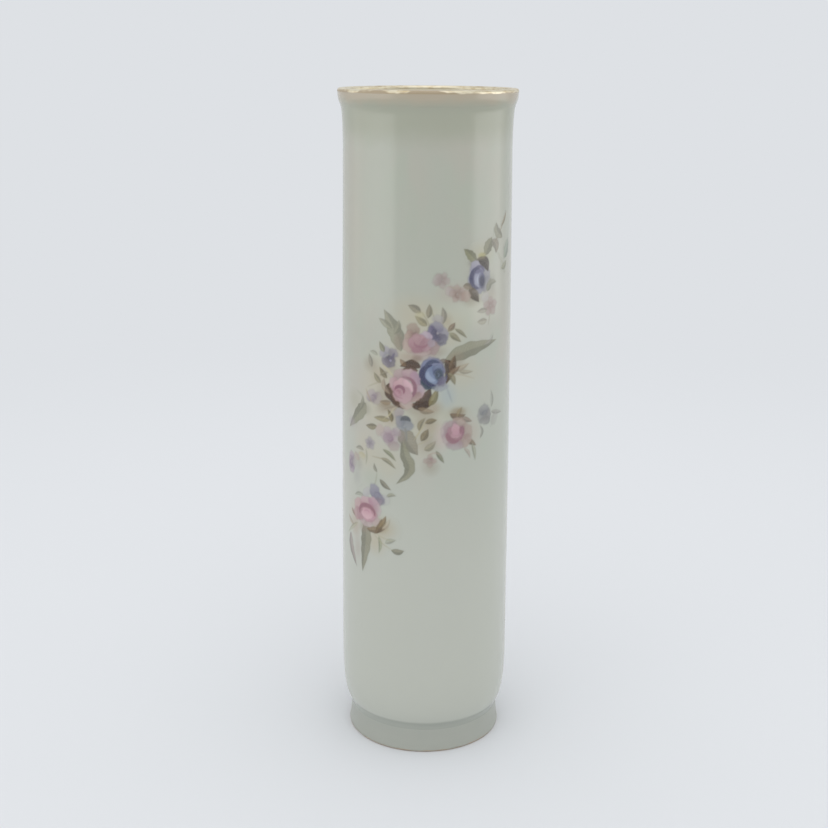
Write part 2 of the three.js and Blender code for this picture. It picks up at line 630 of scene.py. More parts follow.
def wash(s, z, across, up, tone, strength):
    """A blob that fades out nearly from its middle."""
    blob(s, z, across, up, tone, strength, WASH_SOFTNESS)


def petal(s, z, length, width, turn, inner, outer, strength=100):
    """A petal whose outer side faces turn in degrees, with a lit rim and a soft shadow under it."""
    length, width, a = length / 10, width / 10, math.radians(turn)
    part, ds, dz = around(s, z, max(length, width) + 1)
    out, across = ds * math.cos(a) + dz * math.sin(a), dz * math.cos(a) - ds * math.sin(a)
    angle = np.arctan2(across, out)
    wave = 1 + sum(depth * np.cos(count * angle + shift * turn) for depth, count, shift in PETAL_WAVES)
    inside = (1 - np.hypot(out / length, across / width) / wave) * min(length, width)
    inner, outer = rgb(inner), rgb(outer)
    sheet.lay(part, PETAL_SHADOW * smooth(inside, -0.5, 0.1), inner * SHADOW_TONE, strength)
    share = smooth(out / length, -0.8, 0.75)[..., None]
    sheet.lay(part, smooth(inside, -EDGE, EDGE), inner * (1 - share) + outer * share, strength)


def blossom(s, z, radius, turn, petals, inner, outer, strength):
    """A small open flower of round petals."""
    for k in range(petals):
        angle = turn + 360 * k / petals
        a = math.radians(angle)
        out, size = 0.55 * radius, radius * (0.9 + 0.2 * sheet.chance.random())
        at = (s + out * math.cos(a), z + out * math.sin(a))
        petal(*at, 0.46 * size, 0.4 * size, angle, inner, outer, strength)


def arc(s, z, radius, middle, span, width, tone, strength=100, squash=100):
    """A crescent stroke round a place. Its middle and span are in degrees."""
    angles = np.radians(np.linspace(middle - span / 2, middle + span / 2, ARC_POINTS))
    flat = squash / 100 * radius
    stroke([(s + radius * math.cos(a), z + flat * math.sin(a)) for a in angles], width, tone, strength)


# The sprays of roses, stroke by stroke, with tones as display values in hex

LEAF = 0x999884
LEAF_DEEP = 0x8f8e78
LEAF_PALE = 0xa3a493
OLIVE_SOFT = 0x989276
BROWN = 0x402106
BROWN_SOFT = 0x846a4c
TAN = 0xa6967d
HALO = 0xbeb59c
SHADE = 0x968a78
BLUSH = 0xb6a29e


def main_bouquet():
    # soft washes
    for place in (
        (-32, 1393, 60, 40), (-9, 1342, 80, 60), (-54, 1277, 60, 40), (104, 1215, 50, 40),
        (-148, 1084, 60, 40), (4, 1096, 60, 50), (-7, 1024, 40, 60), (-194, 959, 40, 50),
        (-114, 943, 40, 50), (-152, 1167, 50, 50), (-135, 1229, 50, 40), (72, 1334, 40, 40),
    ):
        wash(*place, HALO, 42)
    for place in (
        (13, 1111, 26, 18), (-33, 1107, 24, 14), (-4, 1077, 24, 24), (5, 1012, 26, 30), (29, 1278, 24, 14),
        (-106, 1229, 18, 22), (-174, 1229, 22, 18), (-128, 1141, 20, 30), (-131, 1104, 20, 14),
        (-92, 1097, 16, 14), (14, 936, 20, 20), (88, 1232, 22, 18),
    ):
        wash(*place, SHADE, 50)
    for place in (
        (-142, 1198, 22, 20), (57, 1367, 14, 16), (16, 1117, 24, 14), (-105, 1069, 18, 14),
        (16, 1057, 20, 18),
    ):
        wash(*place, TAN, 42)
    wash(-236, 877, 16, 24, 0x9e9e9a, 40)
    wash(-226, 917, 14, 16, 0x96928a, 40)
    wash(59, 1148, 22, 32, 0xa0aeb4, 55)
    wash(-11, 1272, 32, 18, 0xa69496, 70)
    wash(-51, 1262, 30, 12, 0xa69484, 60)
    wash(-247, 1110, 26, 24, 0xa8a692, 50)
    # great leaves
    leaf((-75, 1278, -87, 1318, -106, 1357, -129, 1395), 45, LEAF, teeth=4)
    leaf((-103, 1340, -125, 1355, -146, 1368), 20, LEAF, 85)
    leaf((-97, 1326, -84, 1347, -82, 1368), 18, LEAF, 80)
    blob(-84, 1304, 12, 24, 0x948678, 55, soft=60)
    leaf((49, 1246, 85, 1267, 129, 1280, 172, 1287, 234, 1295), 45, 0x94937e, teeth=4)
    leaf((180, 1286, 205, 1294, 219, 1313), 13, 0x9e9c92, 70)
    blob(88, 1261, 22, 15, 0x8e826e, 50, soft=60)
    leaf((-194, 1109, -221, 1076, -278, 1019), 41, 0x8f8f7a, teeth=4)
    blob(-264, 1038, 16, 14, 0xa0949e, 50, soft=70)
    leaf((-221, 1085, -209, 1106, -207, 1130), 17, 0x8f8e7c, 90)
    wash(-194, 1092, 15, 15, 0x949280, 55)
    leaf((-71, 1054, -53, 1013, -24, 972), 51, 0x938e7d, teeth=4)
    leaf((-68, 1015, -62, 973, -48, 938, -55, 910, -88, 879), 34, LEAF_DEEP, teeth=5)
    # small leaves above
    leaf((-18, 1391, -35, 1403, -55, 1412), 21, 0x948f7c)
    leaf((2, 1376, 6, 1396, 6, 1416), 18, 0x948e7a)
    leaf((0, 1354, -16, 1366, -35, 1382), 20, 0x9e977a)
    blob(-20, 1385, 14, 9, 0xbab48e, 60, soft=70)
    leaf((45, 1359, 48, 1384, 43, 1407), 17, 0x989384, 90)
    stroke((8, 1342, 2, 1365, -15, 1393), 3.5, OLIVE_SOFT, 70)
    stroke((25, 1365, 16, 1388, 8, 1411), 3, OLIVE_SOFT, 60)
    # fine leaves on the right
    leaf((60, 1338, 72, 1349, 81, 1361), 16, 0x8e7e6a)
    leaf((81, 1343, 100, 1331, 119, 1314), 11, 0x908d75)
    leaf((65, 1332, 80, 1320, 100, 1304), 17, 0x908b72)
    blob(63, 1329, 10, 8, 0xa2a388, 60, soft=70)
    stroke((46, 1336, 63, 1338, 84, 1345), 3, OLIVE_SOFT, 70)
    # tan sprig on the right of the blue rose
    leaf((79, 1223, 101, 1228, 127, 1240), 16, 0xac9e86, 60)
    leaf((95, 1219, 114, 1215, 141, 1214), 13, 0xa09882, 70)
    stroke((67, 1215, 104, 1207, 144, 1193), 4, TAN, 50)
    # violet flower above
    petal(31, 1373, 12, 16, 80, 0xa29ca0, 0xaeaaaa, 60)
    petal(46, 1330, 15, 20, 20, 0x888492, 0x98959e, 95)
    petal(27, 1350, 15, 19, 80, 0x7c788a, 0x94919b)
    petal(14, 1333, 13, 20, 190, 0x5c5670, 0x78728a)
    petal(39, 1313, 17, 19, 300, 0x686574, 0x7e7b86)
    petal(21, 1319, 12, 16, 250, 0x58546a, 0x706a7e, 95)
    arc(31, 1333, 16, 205, 150, 9, 0x5a566e, 90)
    stroke((21, 1345, 24, 1336, 26, 1319), 6, 0x524e64, 85)
    stroke((26, 1307, 37, 1303, 49, 1307), 6, 0x6a6870, 80)
    blob(30, 1332, 3.5, 3.5, 0x968e98, 60)
    # faded pink rose
    petal(-40, 1341, 20, 18, 110, 0x927e72, 0xa69688, 85)
    petal(-49, 1321, 15, 18, 170, 0x947870, 0xac968a, 85)
    petal(-52, 1297, 19, 21, 200, 0xac908c, 0xb6a298, 80)
    petal(-4, 1319, 19, 19, 60, 0xac96a4, 0xb8a8b6, 90)
    petal(16, 1290, 18, 20, 330, 0x947a7c, 0xa28e8c, 90)
    petal(-17, 1281, 15, 26, 270, 0xac9290, 0xb4a29c, 80)
    petal(-26, 1303, 28, 26, 100, 0x9c747e, 0xb28e94, 95)
    petal(-3, 1299, 16, 19, 340, 0x9e7a82, 0xae9096, 90)
    arc(-17, 1309, 21, 265, 150, 8, 0x946a76, 80, 80)
    arc(-26, 1316, 10, 120, 150, 4.5, 0x9c747c, 70)
    petal(-30, 1318, 9, 11, 120, 0xac8a8e, 0xb69898, 70)
    arc(-39, 1337, 7, 300, 170, 5, 0x867068, 70)
    petal(13, 1304, 11, 11, 340, 0x9e8e96, 0xa89ca4, 80)
    # small violet flower on the left
    blossom(-118, 1263, 25, 100, 5, 0x929098, 0xa29ea6, 85)
    petal(-98, 1271, 12, 15, 50, 0x827c82, 0x948e94, 90)
    petal(-109, 1245, 17, 17, 300, 0x5c5662, 0x7a747c)
    petal(-122, 1241, 11, 15, 220, 0x706a76, 0x88828a, 95)
    stroke((-95, 1271, -101, 1259, -115, 1249), 7, 0x625c72, 90)
    blob(-107, 1248, 3.5, 3.5, 0xa8a2ba, 75)
    leaf((-128, 1271, -135, 1284, -144, 1301), 17, LEAF_DEEP)
    leaf((-149, 1259, -163, 1266, -178, 1267), 12, LEAF_PALE, 80)
    leaf((-171, 1221, -176, 1241, -182, 1260), 16, 0x949082, 85)
    # left twigs
    stroke((-135, 1235, -115, 1219, -93, 1198), 8, 0xbab498, 90)
    leaf((-118, 1195, -131, 1208, -143, 1225), 16, 0x82785e)
    leaf((-138, 1178, -152, 1191, -163, 1207), 16, 0x928c72, 90)
    leaf((-142, 1201, -128, 1209, -115, 1213), 10, 0x928a74, 70)
    stroke((-186, 1161, -156, 1175, -128, 1188), 3.5, OLIVE_SOFT, 50)
    stroke((-236, 1140, -212, 1130, -203, 1107), 8, LEAF_PALE, 50)
    # brown leaves round the roses
    leaf((-17, 1234, -45, 1242, -78, 1234), 26, BROWN, teeth=3)
    leaf((-25, 1223, -48, 1228, -75, 1223), 17, 0x624838)
    blob(-28, 1258, 13, 9, 0x7e685c, 60, soft=80)
    leaf((-60, 1236, -69, 1244, -78, 1255), 16, BROWN_SOFT, 80)
    leaf((55, 1254, 67, 1227, 56, 1184), 31, BROWN, teeth=2)
    leaf((67, 1207, 76, 1235, 82, 1264), 19, 0x604a32, 90)
    leaf((64, 1227, 73, 1247, 82, 1267), 12, 0x745e44, 90)
    leaf((64, 1210, 79, 1220, 98, 1234), 16, 0x88725a, 90)
    leaf((61, 1216, 75, 1200, 83, 1179), 17, 0x888064, 90)
    leaf((-112, 1181, -108, 1149, -68, 1108), 30, 0x4c2c14, teeth=3)
    leaf((-105, 1146, -89, 1124, -59, 1109), 19, 0x543620)
    leaf((-108, 1149, -128, 1170, -128, 1194), 17, 0xa49480, 80)
    leaf((-105, 1125, -121, 1122, -145, 1123), 16, 0x907c62, 85)
    blob(-115, 1114, 24, 8, 0x88785e, 60, soft=80)
    leaf((-83, 1116, -105, 1105, -131, 1101), 14, 0xa89882, 60)
    leaf((-45, 1122, -13, 1120, 21, 1135), 27, BROWN, teeth=3)
    leaf((-33, 1122, -7, 1135, 12, 1173), 37, BROWN, teeth=3)
    leaf((-24, 1113, -4, 1105, 22, 1102), 19, 0x928066, 80)
    leaf((7, 1120, 21, 1143, 32, 1173), 22, 0x867e54, 95)
    leaf((-16, 1140, -2, 1152, 7, 1170), 16, 0x604a3e, 95)
    stroke((56, 1178, 65, 1154, 74, 1129), 5.5, 0x929a9e, 60)
    # blue rose
    leaf((32, 1246, 49, 1251, 67, 1242), 15, 0x705e50, 80)
    for angle, inner, outer in (
        (100, 0x76748e, 0x928e9e), (140, 0x686a8a, 0x7a7c94), (185, 0x464a70, 0x64668a),
        (222, 0x36365c, 0x4e4c70), (268, 0x2c3e50, 0x5e6674), (318, 0x5c5c7a, 0x787a90),
        (15, 0x5e5c7a, 0x72708a), (55, 0x68667e, 0x7c7a8a),
    ):
        a = math.radians(angle)
        petal(16 + 22.5 * math.cos(a), 1217 + 32 * math.sin(a), 15, 19, angle, inner, outer)
    petal(41, 1175, 11, 20, 290, 0x8c8e98, 0x9aa0a6, 85)
    petal(15, 1232, 26, 29, 90, 0x646e8e, 0x7c829e)
    petal(18, 1213, 24, 28, 215, 0x647494, 0x8492ae)
    arc(16, 1210, 30, 188, 186, 18, 0x2e3256)
    arc(9, 1205, 32, 230, 96, 16, 0x28384c)
    arc(21, 1226, 25, 122, 134, 12, 0x3e4662, 95)
    arc(21, 1214, 18, 222, 130, 13, 0x96a4bc, 90)
    petal(32, 1224, 14, 15, 60, 0x5e6884, 0x76809c)
    blob(35, 1212, 11.5, 17, 0x364250, 95)
    arc(32, 1214, 13, 130, 120, 4, 0x424c68, 85)
    arc(29, 1211, 6, 0, 150, 3, 0x7e8ca8, 70)
    arc(35, 1208, 22, 315, 120, 9, 0x525274, 90)
    petal(44, 1193, 11, 15, 330, 0x625e76, 0x7a7688, 90)
    # pink rose
    petal(-78, 1211, 15, 20, 110, 0xa68c90, 0xb29e9c, 90)
    petal(-48, 1210, 17, 23, 75, 0xaa8c94, 0xb8a0a2)
    petal(-96, 1180, 14, 21, 180, 0xae8a91, 0xba9ea1, 95)
    petal(-32, 1199, 12.5, 24, 20, 0xae8e9c, 0xa48a9a)
    petal(-23, 1162, 17, 20, 350, 0xac8c96, 0xbaa3a6)
    petal(-16, 1171, 8, 11, 40, 0xa896a0, 0xb0a4ac, 70)
    petal(-33, 1146, 13, 19, 300, 0x967a7a, 0xaa928c)
    petal(-59, 1124, 17, 19, 270, 0xb09896, 0xb6a69c, 90)
    petal(-83, 1145, 14, 19, 225, 0xa47e84, 0xb29496)
    arc(-62, 1171, 28, 5, 150, 12, 0x885e6c, squash=115)
    arc(-64, 1174, 28, 75, 80, 8, 0x94707a, 80)
    petal(-70, 1170, 29, 29, 60, 0xb89299, 0xc8a4aa)
    petal(-54, 1176, 11, 21, 30, 0xcaa5ae, 0xd4b2ba, 95)
    petal(-65, 1150, 24, 23, 290, 0xb08e95, 0xb89a9e)
    arc(-79, 1161, 13.5, 80, 210, 10, 0x845666)
    arc(-74, 1160, 9, 20, 130, 4.5, 0x926474, 90)
    petal(-84, 1156, 10, 11, 230, 0xaa7c88, 0xb68e96, 90)
    arc(-84, 1157, 4.5, 60, 200, 3, 0x946876, 75)
    arc(-71, 1167, 27, 215, 110, 5, 0x9e7482, 75)
    # mauve bud on the left
    petal(-152, 1131, 15, 20, 330, 0x9c9090, 0xaca29c, 80)
    petal(-172, 1135, 17, 20, 130, 0x92868c, 0xb2a7a6, 90)
    arc(-165, 1128, 10, 60, 150, 6, 0x887a84, 75)
    stroke((-194, 1154, -186, 1137, -170, 1113), 5, TAN, 70)
    # yellow-olive leaves
    leaf((-108, 1071, -134, 1072, -163, 1072), 18, 0x988f6c, 90)
    leaf((-152, 1047, -172, 1042, -194, 1042), 19, 0x8e8870)
    leaf((-102, 1066, -105, 1084, -115, 1103), 15, 0x7a7050)
    stroke((-96, 1109, -108, 1089, -128, 1072), 4, 0xbeb694, 80)
    # dark-blue bud and its stem
    petal(-80, 1095, 13, 17, 150, 0x9c9094, 0xa8a0a0, 70)
    petal(-62, 1061, 19, 24, 270, 0x82868c, 0x929598, 95)
    petal(-77, 1072, 13, 16, 200, 0x7c8088, 0x929196, 90)
    arc(-61, 1068, 15, 88, 130, 15, 0x54585e, 100, 90)
    arc(-65, 1061, 9, 270, 140, 4, 0x7c838c, 60)
    stroke((-62, 1052, -59, 1037, -56, 1013), 8, 0x868680, 90)
    # mauve-pink flower
    petal(-141, 1036, 15, 18, 170, BLUSH, 0xb8a8a0, 60)
    blossom(-109, 1023, 29, 40, 5, 0xa8949c, 0xb4a8a8, 85)
    petal(-114, 1016, 16, 14, 200, 0x96828d, 0xa4949a, 85)
    arc(-108, 1017, 9, 300, 170, 5, 0x907888, 80)
    petal(-86, 1038, 11, 14, 40, 0xa2939a, 0xb0a5a8, 80)
    blob(-74, 1024, 11, 17, 0x9a8f8a, 65, soft=80)
    petal(-95, 994, 14, 18, 280, 0xa09190, 0xaca09a, 75)
    # olive leaves on the right of the stem
    leaf((-21, 1045, -18, 1066, -4, 1084), 14, 0x928a70)
    leaf((-4, 1069, 13, 1075, 30, 1078), 16, 0x82765a)
    leaf((-15, 1015, -4, 1033, 5, 1051), 21, 0x82775c)
    leaf((-6, 988, 11, 997, 28, 1015), 20, 0x9a957e, 85)
    stroke((-35, 1017, -18, 1045, -1, 1075), 4.5, 0xb0a888, 80)
    stroke((-27, 1003, -7, 1012, 19, 1030), 3.5, 0xaaa388, 60)
    # pinkish bud
    blossom(11, 955, 19, 90, 4, 0x9e8c84, 0xac9e94, 80)
    blob(14, 961, 5, 4.5, 0x987e7e, 80)
    leaf((28, 985, 40, 966, 52, 947), 13, 0x868872)
    stroke((5, 973, 23, 979, 43, 972), 4, 0xa8968a, 70)
    # leaves low on the left
    leaf((-131, 980, -108, 968, -89, 949), 12, 0x909278)
    leaf((-137, 952, -114, 945, -89, 925), 13, 0x96937c)
    stroke((-170, 952, -141, 951, -114, 949), 4.5, 0xa29882, 70)
    leaf((-151, 906, -159, 917, -162, 932), 11, 0x8e8c7c, 90)
    # faint blossoms
    blossom(-178, 990, 19, 20, 5, 0x928c94, 0xa29ca0, 75)
    blob(-178, 990, 3.8, 3.8, 0x8c808a, 75)
    leaf((-203, 963, -221, 968, -241, 963), 12, 0x969484, 80)
    petal(-211, 946, 10, 15, 260, 0xb4ac8c, 0xbcb89e, 70)
    petal(-236, 937, 10, 14, 230, 0xaa9a90, 0xb4a89c, 70)
    stroke((-194, 971, -190, 948, -194, 922), 7, 0x9a9a88, 70)
    # left-edge flower
    petal(-265, 932, 14, 14, 100, 0x968896, 0xaca0a4, 90)
    petal(-265, 894, 15, 16, 260, 0x8c7c8e, 0xa89ca2, 90)
    petal(-271, 911, 13, 18, 180, 0x8a7c88, 0xa29698, 90)
    petal(-250, 917, 10, 16, 0, 0x968a8e, 0xaea6a2, 70)
    arc(-265, 910, 10, 200, 200, 6, 0x806e84, 85)


def lower_sprig():
    wash(-127, 736, 34, 28, 0xb0a284, 60)
    blob(-140, 740, 20, 18, 0x988462, 60, soft=80)
    wash(-247, 744, 24, 40, 0xb8a896, 50)
    wash(-158, 688, 30, 32, 0xb6aa90, 60)
    wash(-242, 713, 18, 26, 0xac9c8c, 55)
    wash(-170, 884, 35, 22, 0xacb2a2, 40)
    wash(-231, 649, 15, 32, 0xa89c92, 50)
    leaf((-141, 886, -125, 870, -104, 858), 16, 0x888574)
    leaf((-120, 834, -104, 843, -88, 842), 12, 0x969680, 80)
    leaf((-202, 823, -226, 823, -247, 814), 12, 0x9ea090, 80)
    stroke((-162, 860, -155, 881, -151, 906), 4, 0x969682, 60)
    # long leaves
    leaf((-194, 746, -194, 679, -209, 578), 41, 0x8e8c78, teeth=5)
    blob(-203, 722, 16, 16, 0x968676, 60, soft=70)
    leaf((-272, 687, -266, 641, -237, 585), 26, 0x9c918a, 90, teeth=4)
    # brown leaf and small ones
    leaf((-190, 720, -155, 724, -123, 733), 21, 0x887458, teeth=3)
    leaf((-155, 714, -142, 736, -134, 763), 19, 0x746042, 95)
    leaf((-144, 733, -130, 751, -120, 775), 17, 0x8c7854, 95)
    leaf((-133, 731, -117, 747, -107, 768), 14, 0xb8ac96, 60)
    leaf((-144, 707, -139, 680, -144, 653), 12, 0x9ea38a, 90)
    leaf((-123, 689, -107, 698, -88, 704), 16, 0xa4a694, 80)
    leaf((-103, 670, -81, 667, -63, 673), 19, 0x8c8a76)
    stroke((-162, 710, -133, 687, -100, 671), 4, 0xa8a488, 70)
    stroke((-155, 714, -127, 704, -100, 699), 3.5, 0xa8a488, 60)
    leaf((-265, 767, -253, 755, -231, 742), 10, 0x967c70, 85)
    leaf((-253, 716, -272, 726, -286, 741), 12, 0xa69682, 70)
    leaf((-231, 729, -259, 708, -287, 682), 12, 0xacac90, 70)
    # violet petals
    petal(-190, 836, 12, 20, 130, 0xaaa7ac, 0xb8b6b6, 65)
    petal(-124, 824, 15, 15, 340, 0xaeacae, 0xb8b8b4, 60)
    petal(-159, 843, 25, 18, 105, 0x7e7b8c, 0x92919c)
    petal(-141, 826, 20, 13, 310, 0x888694, 0x807b88, 90)
    petal(-148, 814, 12, 15, 300, 0x827482, 0x968a94, 90)
    arc(-151, 828, 15, 60, 120, 4.5, 0x726d84, 50)
    # pink rose
    petal(-228, 788, 19, 22, 150, 0xba969a, 0xbca2a0, 95)
    petal(-192, 805, 16, 26, 90, 0xb89299, 0xbea2a6, 95)
    petal(-162, 804, 17, 24, 40, 0xac8594, 0xb99da5, 95)
    petal(-149, 788, 13, 18, 0, 0xb2969b, 0xbcaeae, 75)
    petal(-231, 758, 19, 20, 190, 0xa47a82, 0xb29696, 95)
    petal(-162, 757, 20, 18, 310, 0xae8f93, 0xb8a6a4, 85)
    petal(-194, 743, 16, 26, 265, 0xac9094, 0xb8a7a5, 85)
    petal(-190, 773, 27, 36, 270, 0xae808a, 0xbc969e)
    petal(-218, 760, 14, 17, 200, 0xa67e86, 0xae8e92, 70)
    arc(-190, 769, 32, 95, 200, 12.5, 0x8e626e, squash=80)
    petal(-190, 768, 17, 23, 270, 0xc49aa4, 0xceabb2)
    arc(-190, 771, 10, 90, 150, 3.5, 0xac808c, 75, 80)
    arc(-181, 765, 24, 290, 100, 3.5, 0xaa818c, 60, 80)


def side_sprig():
    wash(93, 1095, 32, 16, 0xa69c80, 45)
    blob(93, 1098, 21, 13, 0x908268, 70, soft=60)
    wash(136, 1032, 28, 38, 0xb6aa9c, 60)
    wash(48, 1029, 20, 32, 0xc2b0ac, 75)
    leaf((68, 1094, 91, 1083, 117, 1088), 20, 0x745e46, 90, teeth=3)
    leaf((90, 1083, 96, 1098, 105, 1112), 13, 0x948462, 70)
    leaf((99, 1082, 119, 1073, 139, 1065), 16, 0x8e7c6e, 85)
    leaf((123, 1010, 137, 1002, 154, 990), 16, 0x887a66, 95)
    leaf((140, 998, 148, 973, 152, 945), 13, 0xa0a28e, 85)
    leaf((169, 1009, 177, 1029, 168, 1049), 10, 0x96968c, 80)
    leaf((113, 987, 127, 973, 134, 954), 11, 0xaca094, 70)
    petal(55, 1047, 12, 23, 170, 0xa69298, 0xb8aaa8, 85)
    petal(96, 1066, 15, 22, 70, 0xa08a84, 0xae9c90, 85)
    petal(122, 1037, 17, 24, 10, 0xa08e86, 0xac9d92, 85)
    petal(116, 1008, 17, 23, 310, 0x9e8882, 0xaa9a90, 90)
    petal(63, 1016, 13, 20, 215, 0x9e868c, 0xb4a6a4, 85)
    petal(85, 999, 14, 25, 265, 0x9e888e, 0xaaa0a0, 90)
    petal(69, 1055, 15, 21, 135, 0x967e86, 0xa89696, 90)
    petal(84, 1033, 24, 27, 270, 0xa8808a, 0x98707a, 90)
    arc(86, 1035, 25, 234, 120, 16, 0x906872, 85)
    arc(90, 1032, 19, 290, 80, 8, 0x966e78, 80)
    petal(90, 1034, 13, 19, 290, 0xb48c96, 0xba949c, 90)
    petal(86, 1046, 18, 13, 100, 0xba929c, 0xc09ca3, 95)
    blob(106, 1042, 8, 13, 0x8a606c, 95)
    arc(93, 1041, 14, 330, 110, 3.5, 0xa47a86, 70)
    # pale grey flower
    petal(172, 1075, 13, 22, 190, 0x868686, 0x989996, 90)
    petal(198, 1070, 13, 23, 350, 0x848381, 0x8f8e8c, 95)
    petal(188, 1060, 11, 19, 265, 0x888784, 0x989894, 90)
    petal(183, 1093, 16, 18, 95, 0x808183, 0x989996, 95)
    arc(186, 1079, 10, 120, 160, 5, 0x76797d, 75)
    leaf((214, 1095, 218, 1118, 213, 1146), 12, 0xa0a398, 75)
    leaf((214, 1082, 239, 1076, 270, 1070), 14, 0x9e9e94, 80)
    petal(229, 1058, 14, 20, 330, 0xa2a19a, 0xacaca5, 60)


def upper_sprig():
    wash(168, 1550, 36, 26, 0xb0ac8e, 55)
    wash(125, 1391, 70, 40, 0xc8cab8, 50)
    wash(207, 1431, 22, 18, 0xa89e92, 50)
    blob(133, 1528, 12, 10, 0x868278, 60, soft=80)
    wash(134, 1425, 26, 16, 0x928672, 45)
    wash(233, 1589, 10, 14, 0x8c8a7a, 50)
    stroke((287, 1661, 254, 1616, 218, 1577, 172, 1550), 5, 0x928a78, 90, 40, 60)
    leaf((261, 1589, 232, 1609, 227, 1635), 28, 0x90907e, teeth=3)
    leaf((180, 1546, 194, 1573, 208, 1595), 33, 0x8a8a74, teeth=4)
    leaf((209, 1588, 228, 1570, 228, 1547), 28, 0x888272, 90)
    leaf((254, 1621, 273, 1639, 287, 1661), 11, 0x968e76, 90)
    leaf((148, 1529, 129, 1549, 106, 1569), 27, 0x8a8a6e, teeth=4)
    # leaves at the right edge
    leaf((276, 1527, 292, 1554, 304, 1581), 34, 0x949e8e, 85, teeth=3)
    leaf((257, 1500, 277, 1506, 292, 1519), 20, 0x969882, 85)
    stroke((233, 1555, 263, 1517, 285, 1485), 4, 0x9e9c86, 60)
    # violet-blue rose
    petal(185, 1497, 14, 28, 20, 0x888892, 0x94949c, 90)
    petal(137, 1505, 12.5, 21, 165, 0x9a98a8, 0xaaa8b0, 85)
    petal(134, 1471, 13, 22, 200, 0x7a7a8e, 0x9494a0, 90)
    petal(154, 1515, 21, 26, 90, 0x8c8a9e, 0xa2a0ad)
    petal(157, 1454, 16, 21, 275, 0x78788c, 0x8e8e9a, 90)
    petal(185, 1463, 13, 22, 340, 0x84848e, 0x929292, 85)
    leaf((154, 1537, 180, 1526, 193, 1499), 31, 0x423932)
    blob(168, 1546, 13, 8, 0xa8a26c, 80, soft=60)
    leaf((147, 1535, 165, 1538, 184, 1536), 11, 0x706854, 90)
    petal(153, 1483, 28, 24, 270, 0x686884, 0x82849a)
    arc(153, 1483, 22, 180, 210, 14, 0x484966, squash=130)
    arc(158, 1497, 19, 80, 150, 8, 0x56546e, 90)
    petal(158, 1477, 16, 22, 200, 0x888aa0, 0x9ea0b2)
    arc(162, 1480, 10, 200, 150, 6, 0xb0b6c6, 80, 140)
    blob(169, 1473, 11, 18, 0x32344c, 95)
    arc(167, 1485, 9, 60, 140, 3.5, 0x626484, 80)
    leaf((127, 1460, 138, 1439, 159, 1414), 28, 0x544a3c)
    leaf((134, 1448, 148, 1441, 159, 1423), 15, 0x766e66, 80)
    leaf((134, 1456, 117, 1463, 104, 1464), 19, 0x7e7462, 90)
    leaf((190, 1442, 198, 1459, 206, 1479), 20, 0x8c8d7c, 95)
    leaf((198, 1459, 211, 1467, 230, 1465), 16, 0x8e8e7c, 90)
    wash(211, 1466, 13, 22, 0x96968a, 50)
    # faded blossoms on the left
    blob(80, 1446, 50, 24, 0xb8a89c, 55, soft=80)
    blossom(41, 1484, 23, 60, 5, 0xa0918c, 0xaea29c, 75)
    petal(27, 1484, 12, 16, 160, 0xa39692, 0xb0a7a2, 70)
    petal(65, 1452, 13, 15, 200, 0xae9d9b, 0xb8ada9, 75)
    blossom(88, 1443, 25, 30, 5, 0x9e8c83, 0xb0a097, 80)
    petal(114, 1435, 15, 16, 0, 0xaa958a, 0xb6a79c, 80)
    arc(89, 1440, 8, 200, 180, 5, 0x8c746e, 60)
    stroke((59, 1467, 77, 1460, 95, 1459), 4.5, 0xa69e8a, 60)
    # pale pink flower
    petal(182, 1426, 12, 15, 120, 0xb2abaa, 0xbab8b4, 70)
    blossom(205, 1397, 28, 20, 5, 0xa08e88, 0xaa9c96, 80)
    arc(208, 1399, 8, 180, 180, 4.5, 0x988382, 60)
    leaf((191, 1387, 171, 1388, 152, 1386), 15, 0xa4a093, 85)
    leaf((191, 1358, 171, 1356, 153, 1357), 19, 0xa8a493, 80)
    stroke((204, 1379, 200, 1362, 196, 1343), 5, 0xa09b8a, 60)


# Transfers: films cut from the chart, with their sizes in mm too

NOMINAL_RADIUS = 25.4
FILM_CELLS = 2
LEAST_COVER = 0.025
FILM_LIFT = 0.035
FILM_SINK = 0.01
BAKE_MAP = "OFBake"
HIDDEN_SHARE = 0.02

UPPER_CUT = ((-2, 150), (-1.9, 142), (12, 136), (17, 131))
LOWER_CUT = ((-33, 83), (-14, 89), (-9, 84))
SIDE_CUT = ((3.6, 84), (3.7, 112.5), (12, 112.5), (14, 117))
TRANSFERS = ("transfer_main_bouquet", "transfer_upper_sprig", "transfer_lower_sprig", "transfer_side_sprig")


def cut_sheets(s, z):
    """Which transfer each place on the chart belongs to: they are cut apart between the sprays."""
    upper, lower, side = (np.interp(s, *zip(*cut)) for cut in (UPPER_CUT, LOWER_CUT, SIDE_CUT))
    return np.select([z > upper, z < lower, (z < side) & (s > SIDE_CUT[0][0])], [1, 2, 3], 0)


def coarsened():
    """The sheet's places, coverage and colour, averaged over blocks of cells."""
    rows, columns = (size // FILM_CELLS for size in sheet.cover.shape)

    def blocks(values):
        shape = (rows, FILM_CELLS, columns, FILM_CELLS) + values.shape[2:]
        return values[:rows * FILM_CELLS, :columns * FILM_CELLS].reshape(shape).mean(axis=(1, 3))

    cover = blocks(sheet.cover)
    weight = sheet.cover[..., None] + 1e-4
    colour = blocks(sheet.colour * weight) / blocks(weight)
    s = sheet.s[:columns * FILM_CELLS].reshape(columns, -1).mean(axis=1)
    z = sheet.z[:rows * FILM_CELLS].reshape(rows, -1).mean(axis=1)
    return s, z, cover, colour


def touched(cells):
    """Where any of four neighbouring cells is set."""
    return cells[:-1, :-1] | cells[:-1, 1:] | cells[1:, :-1] | cells[1:, 1:]


